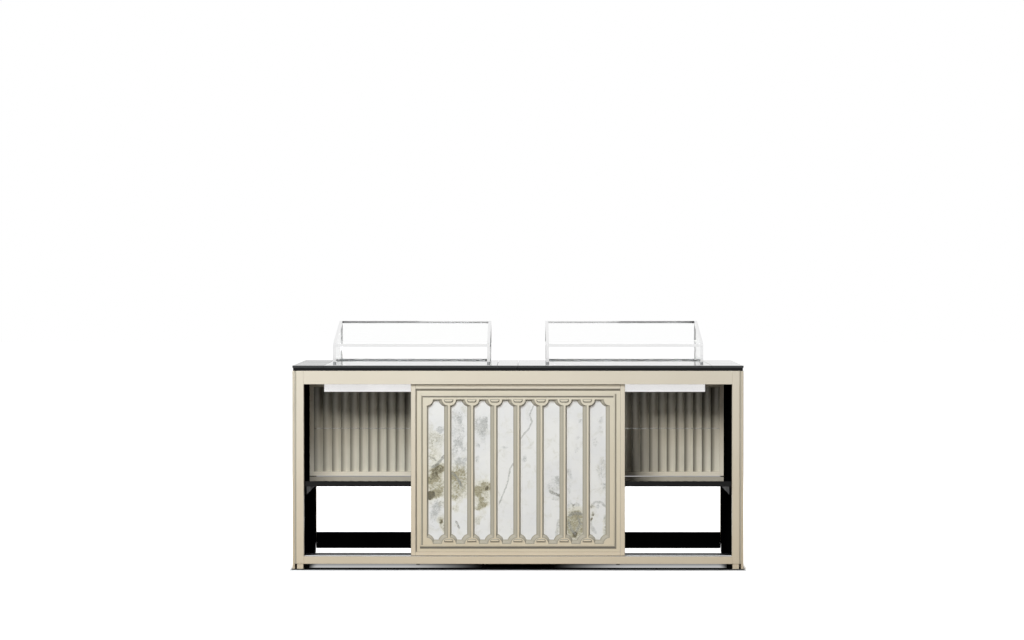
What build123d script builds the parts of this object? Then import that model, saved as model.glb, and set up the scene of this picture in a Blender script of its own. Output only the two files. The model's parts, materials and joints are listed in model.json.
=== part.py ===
from build123d import *
import math
import os

# Mobile buffet station: a two metre table frame with a glass top, two lift-off
# sneeze guards, a sliding front door with stone windows, and hidden casters.
# Millimetres. The origin is on the floor under the middle of the station,
# the guest side faces -Y, and +Z is up.

# Overall size
length = 2000.0
depth = 800.0
top_height = 905.0
half_l = length / 2
front = -depth / 2
rear = depth / 2

# Frame
post = 33.0
wall = 50.0
inner_x = half_l - wall
post_out = inner_x + post
shadow_gap = 7.0
top_rail_z0 = 822.0
top_rail_z1 = 881.5
top_rail_t = 40.0
low_rail_z0 = 25.0
sill_z = 58.0
sill_lip = 2.5
low_rail_t = 32.0
rear_rail_t = 25.0
rear_low_z0 = 20.0
rear_low_z1 = 95.0
floor_gap = 2.5
strip_z0 = 1.0
strip_z1 = 5.5
edge_round = 1.2
tube_wall = 2.0

# Top slab: glass tiles on a black base
glass_t = 10.0
base_t = top_height - glass_t - top_rail_z1
tile_gap = 1.0
tile_cuts = [-half_l, -861.0, -92.0, 0.0, 860.0, half_l]

# Door and its track
door_w = 950.0
door_z0 = 61.0
door_z1 = 820.4
door_y0 = front + 12.0
door_t = 30.0
door_stile = 21.0
door_head = 18.0
door_foot = 16.0
door_mid_y = door_y0 + door_t / 2
ledge_slope = 6.0
head_ledge_slope = 10.0
band_drop = 8.0
board_t = 14.0
stone_t = 5.0
rib_w = 3.0
rib_h = 2.5
rib_top = sill_z + rib_h
guide_slot_w = 8.0
guide_slot_h = 12.0
guide_x = 380.0
roller_x = 400.0
roller_z = 70.0
roller_r = 11.0
roller_tread_r = 9.25
roller_w = 6.5
roller_pin_r = 2.0
run_gap = 0.05

# Windows in the door
window_count = 8
window_pitch = 102.6
window_w = 94.1
window_shift = 1.75
window_z0 = 112.0
window_z1 = 754.0
window_notch = 27.0
window_bevel = 12.4
window_lean_x = -5.75
window_lean_z = 5.6
bead_x0 = -435.0
bead_x1 = 430.0
bead_z0 = 101.0
bead_z1 = 779.0
bead_w = 6.0
bead_h = 5.0
bead_slope_x = 7.5
bead_slope_z = 10.5
boss_w = 41.0
boss_h = 14.0
boss_t = 5.5
boss_slope = 3.4
boss_round = 9.0

# Inside: shelf, reeded panels and the centre compartment
shelf_y0 = front + 46.0
shelf_z0 = 365.0
shelf_z1 = 389.0
liner_t = 4.0
reed_y = front + 350.0
reed_count = 11
reed_depth = 8.0
reed_back = 8.0
reed_frame_w = 19.0
reed_frame_t = 20.0
reed_z0 = 391.0
reed_z1 = 815.0
reed_seam_z = 607.0
reed_right_end = 936.0
divider_t = 16.0
divider_x = 440.0
housing_z0 = 787.0
housing_y0 = front + 46.0
housing_y1 = reed_y - 8.0
housing_wall = 2.0

# Sneeze guards
guard_x0 = 127.0
guard_x1 = 840.0
guard_front = front + 300.0
guard_bar = 14.0
guard_foot_h = 6.0
guard_mid_z = top_height + 89.0
guard_top_z = top_height + 184.0
pane_t = 6.0

# Casters
caster_x = 957.0
caster_y = 332.0
caster_trail = 11.0
wheel_r = 20.0
wheel_w = 14.0
axle_r = 3.0
king_r = 4.0
fork_t = 2.0
fork_gap = 0.5
fork_top_z = 46.0
fork_top_t = 3.0
plate_z0 = 47.0
plate_z1 = 50.0
swing_r = 36.0


def block(x0, x1, y0, y1, z0, z1):
    """A box between two corners."""
    centre = Pos((x0 + x1) / 2, (y0 + y1) / 2, (z0 + z1) / 2)
    return centre * Box(abs(x1 - x0), abs(y1 - y0), abs(z1 - z0))


def tube(x0, x1, y0, y1, z0, z1, along):
    """A square tube between two corners, open at both ends."""
    dx, dy, dz = [0.0 if axis == along else tube_wall for axis in "xyz"]
    core = block(x0 + dx, x1 - dx, y0 + dy, y1 - dy, z0 + dz, z1 - dz)
    return block(x0, x1, y0, y1, z0, z1) - core


def eased(solid, radius=edge_round, axis=None):
    """Break the edges of a bar, all of them or those along one axis."""
    edges = solid.edges() if axis is None else solid.edges().filter_by(axis)
    return chamfer(edges, radius)


def mirrored(solid):
    """The same piece at the other end of the station."""
    return mirror(solid, about=Plane.YZ)


def both_ends(solid):
    return [solid, mirrored(solid)]


def save(name, *solids):
    """Write the pieces of one node to its own STEP file."""
    pieces = []
    for solid in solids:
        pieces.extend(solid.solids())
    shape = pieces[0] if len(pieces) == 1 else Compound(children=pieces)
    shape.label = name
    export_step(shape, f"parts/{name}.step")


# Outer frame
def make_posts():
    for side, side_name in ((-1, "left"), (1, "right")):
        for face, face_name in ((front, "front"), (rear - post, "rear")):
            x0 = min(side * inner_x, side * post_out)
            bar = eased(block(x0, x0 + post, face, face + post, low_rail_z0, top_rail_z1), edge_round, Axis.Z)
            core = block(
                x0 + tube_wall, x0 + post - tube_wall,
                face + tube_wall, face + post - tube_wall,
                low_rail_z0, top_rail_z1,
            )
            save(f"post_{face_name}_{side_name}", bar - core)


def make_foot_blocks():
    inset = 2.5
    feet = []
    for y0 in (front, rear - post):
        foot = block(inner_x + inset, post_out - inset, y0 + inset, y0 + post - inset, floor_gap, low_rail_z0)
        feet += both_ends(foot)
    save("foot_blocks", *feet)


def make_top_rails():
    rail = block(-inner_x, inner_x, front, front + top_rail_t, top_rail_z0, top_rail_z1)
    slot_x = inner_x - 2.0
    slot = block(
        -slot_x, slot_x,
        door_mid_y - guide_slot_w / 2, door_mid_y + guide_slot_w / 2,
        top_rail_z0, top_rail_z0 + guide_slot_h,
    )
    core = block(
        -inner_x, inner_x,
        front + tube_wall, front + top_rail_t - tube_wall,
        top_rail_z0 + guide_slot_h + tube_wall, top_rail_z1 - tube_wall,
    )
    save("front_top_rail", rail - slot - core)
    save("rear_top_rail", tube(-inner_x, inner_x, rear - rear_rail_t, rear, top_rail_z0, top_rail_z1, "x"))


def make_side_rails():
    y0 = front + post
    y1 = rear - post
    x_in = inner_x + liner_t
    top = tube(x_in, post_out, y0, y1, top_rail_z0, top_rail_z1, "y")
    bearer = block(inner_x - 10.0, inner_x, shelf_y0, y1, shelf_z0 - 36.0, shelf_z0)
    bottom = tube(x_in, post_out, y0, y1, plate_z1, plate_z1 + 22.0, "y")
    save("side_rails", *both_ends(top), *both_ends(bottom))
    save("shelf_bearers", *both_ends(bearer))


def make_front_bottom_rail():
    lip = 4.0
    body = tube(-inner_x, inner_x, front, front + low_rail_t, low_rail_z0, sill_z - 5.0, "x")
    face = block(-inner_x, inner_x, front, front + lip, sill_z - 5.0, sill_z)
    save("front_bottom_rail", body + face)


def make_track_sill():
    lip = 4.0
    plate = block(-inner_x, inner_x, front + lip, front + 130.0, sill_z - 5.0, sill_z)
    corner = block(inner_x - 0.5, inner_x + 1.0, front, front + post, sill_z - 6.0, sill_z + 1.0)
    rib = block(-inner_x + 1.0, inner_x - 1.0, door_mid_y - rib_w / 2, door_mid_y + rib_w / 2, sill_z, rib_top)
    back_lip = block(-inner_x, inner_x, front + 126.0, front + 130.0, sill_z, sill_z + sill_lip)
    sill = plate + rib + back_lip
    for cut in both_ends(corner):
        sill -= cut
    save("track_sill", sill)


def make_rear_bottom_rail():
    rail = tube(-inner_x, inner_x, rear - rear_rail_t, rear, rear_low_z0, rear_low_z1, "x")
    save("rear_bottom_rail", rail)


def make_kick_strip():
    """A thin strip close to the floor that hangs from the front bottom rail."""
    strip = block(-inner_x + 2.0, inner_x - 2.0, front + 6.0, front + low_rail_t - 6.0, strip_z0, strip_z1)
    hangers = []
    for x in (-937.0, -150.0, 150.0, 937.0):
        hangers.append(block(x - 10.0, x + 10.0, front + 20.0, front + 24.0, strip_z1, low_rail_z0))
    save("kick_strip", strip, *hangers)


def make_liners():
    y0 = front + post
    y1 = rear - post
    liner = block(inner_x, inner_x + liner_t, y0, y1, 6.0, top_rail_z1)
    for y in (-caster_y, caster_y):
        liner -= block(inner_x - 1.0, inner_x + liner_t + 1.0, y - swing_r, y + swing_r, 0.0, plate_z1)
    save("liner_right", liner)
    save("liner_left", mirrored(liner))


def make_end_panels():
    x0 = post_out + shadow_gap
    margin = 55.0
    panel = block(x0, half_l, front, rear, floor_gap, top_rail_z1)
    field = block(half_l - 2.5, half_l + 1.0, front + margin, rear - margin, 95.0, top_rail_z1 - margin)
    panel = eased(panel, 1.0, Axis.Z) - field
    for y in (front, rear):
        panel -= block(half_l - 7.0, half_l - 5.0, y - 3.0, y + 3.0, floor_gap, top_rail_z1)
    rim = 36.0
    panel -= block(x0, x0 + 5.5, front + rim, rear - rim, floor_gap + rim, top_rail_z1 - rim)
    save("end_panel_right", panel)
    save("end_panel_left", mirrored(panel))


def make_shadow_spacers():
    strips = []
    x0 = post_out
    for y0 in (front + 4.0, rear - 24.0):
        strips += both_ends(block(x0, x0 + shadow_gap, y0, y0 + 20.0, low_rail_z0, top_rail_z1))
    save("shadow_spacers", *strips)


def make_cross_beams():
    beams = []
    for x0 in (-900.0, -124.0, 72.0, 848.0):
        beams.append(tube(x0, x0 + 24.0, front + top_rail_t, rear - rear_rail_t, 850.0, top_rail_z1, "y"))
    save("cross_beams", *beams)


# Table top
def make_top():
    inset = 3.0
    halves = []
    for x0, x1 in ((-half_l + inset, -0.8), (0.8, half_l - inset)):
        halves.append(block(x0, x1, front + inset, rear - inset, top_rail_z1, top_rail_z1 + base_t))
    save("top_base", *halves)
    names = ["top_end_left", "top_plate_left", "top_strip", "top_plate_right", "top_end_right"]
    for name, x0, x1 in zip(names, tile_cuts[:-1], tile_cuts[1:]):
        left_gap = 0.0 if x0 == -half_l else tile_gap / 2
        right_gap = 0.0 if x1 == half_l else tile_gap / 2
        tile = block(x0 + left_gap, x1 - right_gap, front, rear, top_height - glass_t, top_height)
        save(name, chamfer(tile.faces().sort_by(Axis.Z)[-1].edges(), 0.8))


def make_housing(x0, x1):
    """A white casing under the top that holds the plate's warming module."""
    body = block(x0, x1, housing_y0, housing_y1, housing_z0, top_rail_z1)
    hollow = block(
        x0 + housing_wall, x1 - housing_wall,
        housing_y0 + housing_wall, housing_y1 - housing_wall,
        housing_z0 + housing_wall, top_rail_z1,
    )
    return body - hollow


def make_housings():
    save("module_housing_left", make_housing(-862.0, -135.0))
    save("module_housing_right", make_housing(105.0, 832.0))
    module_h = 60.0
    skin = 3.0
    y0 = housing_y0 + 14.0
    y1 = housing_y1 - 14.0
    z0 = top_rail_z1 - module_h
    modules = []
    for x0, x1 in ((-850.0, -147.0), (117.0, 820.0)):
        case = block(x0, x1, y0, y1, z0, top_rail_z1)
        hollow = block(x0 + skin, x1 - skin, y0 + skin, y1 - skin, z0, top_rail_z1 - skin)
        modules.append(case - hollow)
    save("warming_modules", *modules)


# Inside
def make_shelf():
    shelf = block(-inner_x, inner_x, shelf_y0, rear - post, shelf_z0, shelf_z1)
    save("shelf", eased(shelf, 0.8, Axis.X))


def reeded_panel(x0, x1):
    """A board with hollow flutes between sharp ridges on its front, in a lower and an upper part."""
    pitch = (x1 - x0) / reed_count
    crest = reed_y + 2.0
    valley = crest + reed_depth
    back = valley + reed_back
    edges = []
    for i in range(reed_count):
        a = x0 + i * pitch
        edges.append(ThreePointArc((a, crest), (a + pitch / 2, valley), (a + pitch, crest)))
    edges.append(Line((x1, crest), (x1, back)))
    edges.append(Line((x1, back), (x0, back)))
    edges.append(Line((x0, back), (x0, crest)))
    outline = make_face(edges)
    z0 = reed_z0 + reed_frame_w
    z1 = reed_z1 - reed_frame_w
    lower = Pos(0, 0, z0) * extrude(outline, reed_seam_z - 0.5 - z0)
    upper = Pos(0, 0, reed_seam_z + 0.5) * extrude(outline, z1 - reed_seam_z - 0.5)
    return [lower, upper]


def reeded_frame(x0, x1):
    """Four bars round a reeded panel."""
    y1 = reed_y + reed_frame_t
    w = reed_frame_w
    return [
        block(x0, x0 + w, reed_y, y1, reed_z0, reed_z1),
        block(x1 - w, x1, reed_y, y1, reed_z0, reed_z1),
        block(x0 + w, x1 - w, reed_y, y1, reed_z0, reed_z0 + w),
        block(x0 + w, x1 - w, reed_y, y1, reed_z1 - w, reed_z1),
    ]


def make_reeded_panels():
    inner_end = divider_x + divider_t + 1.0
    frames = []
    for name, x0, x1 in (("left", -inner_x + 0.5, -inner_end), ("right", inner_end, reed_right_end)):
        save(f"reeded_panel_{name}", *reeded_panel(x0 + reed_frame_w, x1 - reed_frame_w))
        frames += reeded_frame(x0, x1)
    save("reeded_frames", *frames)


def make_centre():
    x1 = divider_x + divider_t
    y1 = rear - post - 1.0
    lower = block(divider_x, x1, shelf_y0, front + 125.0, sill_z, shelf_z0)
    lower += block(divider_x, x1, front + 125.0, y1, sill_z + 6.5, shelf_z0)
    lower += block(divider_x, x1, front + 131.0, y1, 8.0, sill_z + 6.5)
    upper = block(divider_x, x1, shelf_y0, y1, shelf_z1, housing_z0 - 1.0)
    save("dividers", *both_ends(lower), *both_ends(upper))
    floor_z0 = sill_z + 8.0
    floor_z1 = floor_z0 + divider_t
    save("centre_floor", block(-divider_x, divider_x, shelf_y0, y1, floor_z0, floor_z1))
    back_y0 = y1 - divider_t
    low = block(-divider_x, divider_x, back_y0, y1, floor_z1, shelf_z0)
    high = block(-divider_x, divider_x, back_y0, y1, shelf_z1, housing_z0 - 1.0)
    save("centre_back", low, high)


# Door
def window_outline(centre_x, centre_z, inset, y):
    """One window's outline: a tall slot with a concave quarter circle at each corner."""
    half_w = window_w / 2
    radius = window_notch + inset
    side = half_w - inset
    reach = math.sqrt(radius ** 2 - inset ** 2)
    bow = radius * math.cos(math.radians(45))
    half_h = (window_z1 - window_z0) / 2
    corners = []
    for sx, sz in ((1, 1), (1, -1), (-1, -1), (-1, 1)):
        near_tip = (sx * (half_w - reach), sz * (half_h - inset))
        near_side = (sx * side, sz * (half_h - reach))
        middle = (sx * (half_w - bow), sz * (half_h - bow))
        corners.append((near_tip, middle, near_side))
    tip_a, mid_a, side_a = corners[0]
    tip_b, mid_b, side_b = corners[1]
    tip_c, mid_c, side_c = corners[2]
    tip_d, mid_d, side_d = corners[3]
    edges = [
        ThreePointArc(tip_a, mid_a, side_a),
        Line(side_a, side_b),
        ThreePointArc(side_b, mid_b, tip_b),
        Line(tip_b, tip_c),
        ThreePointArc(tip_c, mid_c, side_c),
        Line(side_c, side_d),
        ThreePointArc(side_d, mid_d, tip_d),
        Line(tip_d, tip_a),
    ]
    plane = Plane(origin=(centre_x, y, centre_z), x_dir=(1, 0, 0), z_dir=(0, -1, 0))
    return plane * make_face(edges)


def window_centres():
    first = -window_pitch * (window_count - 1) / 2
    return [first + i * window_pitch for i in range(window_count)]


def roller_pockets():
    cuts = []
    for x in (-roller_x, roller_x):
        cuts.append(block(x - 14.0, x + 14.0, door_mid_y - 5.5, door_mid_y + 5.5, door_z0 - 1.0, door_z0 + 24.0))
    return cuts


def make_door_frame():
    half = door_w / 2
    inner = half - door_stile
    head_z0 = door_z1 - door_head
    y1 = door_y0 + door_t
    stile = eased(block(inner, half, door_y0, y1, door_z0, door_z1), edge_round, Axis.Z)
    stile -= block(
        inner + tube_wall, half - tube_wall,
        door_y0 + tube_wall, y1 - tube_wall,
        door_z0, door_z1,
    )
    head = tube(-inner, inner, door_y0, y1, head_z0, door_z1, "x")
    foot = block(-inner, inner, door_y0, y1, door_z0, door_z0 + door_foot)
    for cut in roller_pockets():
        foot -= cut
    band_y = door_y0 + band_drop
    section = make_face(Polyline((-inner, door_y0), (-inner + ledge_slope, band_y), (-inner, band_y), close=True))
    ledge_z0 = door_z0 + door_foot
    left_ledge = Pos(0, 0, ledge_z0) * extrude(section, head_z0 - head_ledge_slope - ledge_z0)
    section = make_face(Polyline((door_y0, head_z0), (band_y, head_z0 - head_ledge_slope), (band_y, head_z0), close=True))
    top_ledge = Plane(origin=(-inner, 0, 0), x_dir=(0, 1, 0), z_dir=(1, 0, 0)) * extrude(section, 2 * inner)
    save("door_frame", mirrored(stile) + left_ledge, stile, head + top_ledge, foot)


def make_door_fretwork():
    half = door_w / 2 - door_stile
    y0 = door_y0 + band_drop
    y1 = y0 + board_t
    board = block(-half, half, y0, y1, door_z0 + door_foot, door_z1 - door_head)
    window_z = (window_z0 + window_z1) / 2
    for x in window_centres():
        mouth_x = x + window_shift
        mouth = window_outline(mouth_x, window_z, 0.0, y0)
        throat = window_outline(mouth_x + window_lean_x, window_z + window_lean_z, window_bevel, y1)
        board -= loft([mouth, throat], ruled=True)
    for cut in roller_pockets():
        board -= cut
    save("door_fretwork", board)


def flat_rectangle(x0, x1, z0, z1, y):
    plane = Plane(origin=((x0 + x1) / 2, y, (z0 + z1) / 2), x_dir=(1, 0, 0), z_dir=(0, -1, 0))
    return plane * Rectangle(x1 - x0, z1 - z0)


def make_door_bead():
    """A ring round the windows that slopes down on the right and below each of its bars."""
    y1 = door_y0 + band_drop
    y0 = y1 - bead_h
    hole_x0 = bead_x0 + bead_w
    hole_x1 = bead_x1 - bead_w
    hole_z0 = bead_z0 + bead_w
    hole_z1 = bead_z1 - bead_w
    ring = loft([
        flat_rectangle(bead_x0, bead_x1, bead_z0, bead_z1, y0),
        flat_rectangle(bead_x0, bead_x1 + bead_slope_x, bead_z0 - bead_slope_z, bead_z1, y1),
    ], ruled=True)
    ring -= loft([
        flat_rectangle(hole_x0, hole_x1, hole_z0, hole_z1, y0),
        flat_rectangle(hole_x0 + bead_slope_x, hole_x1, hole_z0, hole_z1 - bead_slope_z, y1),
    ], ruled=True)
    save("door_bead", ring)


def make_door_bosses():
    y1 = door_y0 + band_drop
    half = boss_w / 2
    top_z0 = 741.5
    low_z0 = 120.5
    bosses = []
    centres = window_centres()
    for x0, x1 in zip(centres[:-1], centres[1:]):
        x = (x0 + x1) / 2
        for z0, rounded_side in ((top_z0, -1), (low_z0, 1)):
            boss = block(x - half, x + half, y1 - boss_t, y1, z0, z0 + boss_h)
            edges = boss.edges().filter_by(Axis.Y).sort_by(Axis.Z)
            picked = edges[:2] if rounded_side < 0 else edges[-2:]
            boss = fillet(picked, boss_round)
            bosses.append(chamfer(boss.faces().sort_by(Axis.Y)[0].edges(), boss_slope))
    save("door_bosses", *bosses)


def make_door_stone_and_back():
    half = door_w / 2 - door_stile
    y0 = door_y0 + band_drop + board_t
    z0 = door_z0 + door_foot
    z1 = door_z1 - door_head
    stone_z0 = z0 + 12.0
    save("door_stone", block(-half, half, y0, y0 + stone_t, stone_z0, z1))
    save("door_back", block(-half, half, y0 + stone_t, door_y0 + door_t, stone_z0, z1))


def make_door_hardware():
    cheek = 1.4
    guide_l = 30.0
    guide_w = 6.0
    brackets = []
    wheels = {}
    for x, name in ((-roller_x, "left"), (roller_x, "right")):
        y0 = door_mid_y - 5.5
        y1 = door_mid_y + 5.5
        top_z = door_z0 + 24.0
        bracket = block(x - 13.9, x + 13.9, y0, y1, door_z0 + 1.0, top_z)
        bracket -= block(x - 15.0, x + 15.0, y0 + cheek, y1 - cheek, door_z0, top_z - 2.0)
        pin = Pos(x, door_mid_y, roller_z) * Rot(90, 0, 0) * Cylinder(roller_pin_r, 11.0)
        brackets += [bracket - pin, pin]
        wheel = Cylinder(roller_r, roller_w)
        groove = Cylinder(roller_r + 1, rib_w + 0.8) - Cylinder(roller_tread_r, rib_w + 0.8)
        wheel = wheel - groove - Cylinder(roller_pin_r + run_gap, roller_w + 2)
        wheels[name] = Pos(x, door_mid_y, roller_z) * Rot(90, 0, 0) * wheel
    save("door_carriages", *brackets)
    save("door_roller_left", wheels["left"])
    save("door_roller_right", wheels["right"])
    shoes = []
    for x in (-guide_x, guide_x):
        shoes.append(block(
            x - guide_l / 2, x + guide_l / 2,
            door_mid_y - guide_w / 2, door_mid_y + guide_w / 2,
            door_z1, top_rail_z0 + guide_slot_h - 2.0,
        ))
    save("door_guides", *shoes)


# Sneeze guards
def make_guard(side, name):
    """One guard: a bar frame, four panes, two feet and a rear seat strip. side is -1 for left, 1 for right."""
    b = guard_bar
    z_foot = top_height + guard_foot_h
    y0 = guard_front
    y1 = rear - 6.0
    mid0 = guard_mid_z - b
    top0 = guard_top_z - b
    far = guard_x1
    near = guard_x0
    bars = []
    for x0 in (near, far - b):
        bars.append(block(x0, x0 + b, y0, y0 + b, z_foot, mid0))
        bars.append(block(x0, x0 + b, y1 - b, y1, z_foot, top0))
        slope = [(y0 + b, mid0), (y1 - b, top0), (y1 - b, guard_top_z), (y0 + b, guard_mid_z)]
        section = make_face(Polyline(*slope, close=True))
        bars.append(Plane(origin=(x0, 0, 0), x_dir=(0, 1, 0), z_dir=(1, 0, 0)) * extrude(section, b))
    bars.append(block(near, far, y0, y0 + b, mid0, guard_mid_z))
    bars.append(block(near, far, y1 - b, y1, top0, guard_top_z))

    lower = block(near + b, far - b, y0 + 4.0, y0 + 4.0 + pane_t, z_foot + 1.0, mid0)
    rise = (guard_top_z - guard_mid_z) / (y1 - y0 - 2 * b)
    drop = 4.0
    low_face = guard_mid_z - drop
    high_face = guard_top_z - drop
    slant_line = [
        (y0 + b, low_face - pane_t), (y1 - b, high_face - pane_t),
        (y1 - b, high_face), (y0 + b, low_face),
    ]
    z_pane = top_height + 0.5
    side_line = [
        (y0 + b, z_pane), (y1 - b, z_pane),
        (y1 - b, top0), (y0 + b, mid0),
    ]
    panes = [lower]
    section = make_face(Polyline(*slant_line, close=True))
    panes.append(Plane(origin=(near + b, 0, 0), x_dir=(0, 1, 0), z_dir=(1, 0, 0)) * extrude(section, far - near - 2 * b))
    section = make_face(Polyline(*side_line, close=True))
    for x0 in (near + 4.0, far - b + 4.0):
        panes.append(Plane(origin=(x0, 0, 0), x_dir=(0, 1, 0), z_dir=(1, 0, 0)) * extrude(section, pane_t))

    feet = []
    for x in (near, far - b):
        feet.append(Pos(x + b / 2, y0 + b / 2, top_height + guard_foot_h / 2) * Cylinder(6.5, guard_foot_h))
    feet.append(block(near + 2.0, far - 2.0, y1 - b, y1 - 2.0, top_height, z_foot))
    if side < 0:
        bars = [mirrored(piece) for piece in bars]
        panes = [mirrored(piece) for piece in panes]
        feet = [mirrored(piece) for piece in feet]
    save(f"guard_{name}_frame", *bars)
    save(f"guard_{name}_panes", *panes)
    save(f"guard_{name}_feet", *feet)


# Casters
def make_caster_plates():
    head_t = 2.0
    plates = []
    for y in (-caster_y, caster_y):
        plate = block(inner_x - 5.0, post_out, y - 28.0, y + 28.0, plate_z0, plate_z1)
        pin_z0 = fork_top_z - fork_top_t - 0.3 - head_t
        pin = Pos(caster_x, y, (pin_z0 + plate_z0) / 2) * Cylinder(king_r, plate_z0 - pin_z0)
        head = Pos(caster_x, y, pin_z0 + head_t / 2) * Cylinder(king_r + 2.5, head_t)
        plates += both_ends(plate + pin + head)
    save("caster_plates", *plates)


def make_caster(side, y_side):
    """One swivel caster. Its wheel trails towards the middle of the station."""
    half_in = wheel_w / 2 + fork_gap
    half_out = half_in + fork_t
    reach = 14.0
    top_z = fork_top_z - fork_top_t
    top = block(-half_out, half_out, -reach, reach + caster_trail, top_z, fork_top_z)
    top -= Cylinder(king_r + run_gap, 200.0)
    fork = top
    for x0 in (-half_out, half_in):
        leg = [
            (-8.0, top_z), (reach + 10.0, top_z),
            (caster_trail + 6.5, wheel_r), (caster_trail - 6.5, wheel_r),
        ]
        face = make_face(Polyline(*leg, close=True))
        cheek = Plane(origin=(x0, 0, 0), x_dir=(0, 1, 0), z_dir=(1, 0, 0)) * extrude(face, fork_t)
        eye = Pos(x0 + fork_t / 2, caster_trail, wheel_r) * Rot(0, 90, 0) * Cylinder(6.5, fork_t)
        fork += cheek + eye
    axle = Pos(0, caster_trail, wheel_r) * Rot(0, 90, 0) * Cylinder(axle_r, 2 * half_out)
    fork -= axle
    wheel = Cylinder(wheel_r, wheel_w) - Cylinder(axle_r + run_gap, wheel_w + 2)
    rims = wheel.edges().filter_by(GeomType.CIRCLE).filter_by(lambda e: e.radius > axle_r + 1)
    wheel = chamfer(rims, 1.2)
    for z in (-wheel_w / 2, wheel_w / 2):
        wheel -= Pos(0, 0, z) * (Cylinder(14.0, 3.0) - Cylinder(6.0, 3.0))
    wheel = Pos(0, caster_trail, wheel_r) * Rot(0, 90, 0) * wheel
    place = Pos(side * caster_x, y_side * caster_y, 0)
    if y_side > 0:
        place = place * Rot(0, 0, 180)
    return place * fork, place * axle, place * wheel


def make_casters():
    for y_side, y_name in ((-1, "front"), (1, "rear")):
        for side, x_name in ((-1, "left"), (1, "right")):
            fork, axle, wheel = make_caster(side, y_side)
            save(f"caster_{y_name}_{x_name}_fork", fork, axle)
            save(f"caster_{y_name}_{x_name}_wheel", wheel)


def main():
    os.makedirs("parts", exist_ok=True)
    make_posts()
    make_foot_blocks()
    make_top_rails()
    make_side_rails()
    make_front_bottom_rail()
    make_track_sill()
    make_rear_bottom_rail()
    make_kick_strip()
    make_liners()
    make_end_panels()
    make_shadow_spacers()
    make_cross_beams()
    make_top()
    make_housings()
    make_shelf()
    make_reeded_panels()
    make_centre()
    make_door_frame()
    make_door_fretwork()
    make_door_bead()
    make_door_bosses()
    make_door_stone_and_back()
    make_door_hardware()
    make_guard(-1, "left")
    make_guard(1, "right")
    make_caster_plates()
    make_casters()


main()
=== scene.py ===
import json
import math

import bpy
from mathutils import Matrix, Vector


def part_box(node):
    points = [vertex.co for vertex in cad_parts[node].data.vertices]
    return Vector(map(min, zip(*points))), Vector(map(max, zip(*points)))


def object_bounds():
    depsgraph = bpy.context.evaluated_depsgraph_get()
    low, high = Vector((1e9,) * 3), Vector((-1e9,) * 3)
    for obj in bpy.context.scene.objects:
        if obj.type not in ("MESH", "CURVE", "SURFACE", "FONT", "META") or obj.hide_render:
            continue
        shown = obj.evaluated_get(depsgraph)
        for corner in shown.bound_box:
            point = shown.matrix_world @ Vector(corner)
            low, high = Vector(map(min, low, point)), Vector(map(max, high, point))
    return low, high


# A two metre mobile buffet station in champagne and black. Metres, in the frame
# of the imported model: the origin is on the floor under the middle, the guest
# side faces -Y and +Z is up. Colours are linear.

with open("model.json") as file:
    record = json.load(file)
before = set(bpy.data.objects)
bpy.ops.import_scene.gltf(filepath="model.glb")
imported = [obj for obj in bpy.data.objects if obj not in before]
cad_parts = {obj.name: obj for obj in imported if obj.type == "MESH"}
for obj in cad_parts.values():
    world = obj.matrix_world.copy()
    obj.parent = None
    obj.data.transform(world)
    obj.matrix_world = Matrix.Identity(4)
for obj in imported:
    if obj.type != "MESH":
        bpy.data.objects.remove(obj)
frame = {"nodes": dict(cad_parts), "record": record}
cad_low, cad_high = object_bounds()
cad = frame["nodes"]

# The photograph's frame: 1024 by 640 pixels, with the vanishing point of the
# depth direction and the focal length in pixels
IMAGE_W = 1024
IMAGE_H = 640
FOCAL_PX = 2879.0
VANISH_PX = (525.0, 271.0)
CAMERA_PLACE = (0.0314, -13.15, 1.324)
CAMERA_REACH = 200.0
SENSOR = 36.0

# The plain light of the world
AMBIENT = 0.06

# Track sill: above SILL_TOP it is black from BLACK_START on, and all of it is from SILL_REAR on
SILL_TOP = 0.0576
BLACK_START = -0.33
SILL_REAR = -0.2702


def rgb(r, g, b):
    """A colour with full alpha."""
    return (r, g, b, 1.0)


def neutral(tone):
    """A grey with full alpha."""
    return rgb(tone, tone, tone)


WHITE = neutral(1.0)


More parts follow.
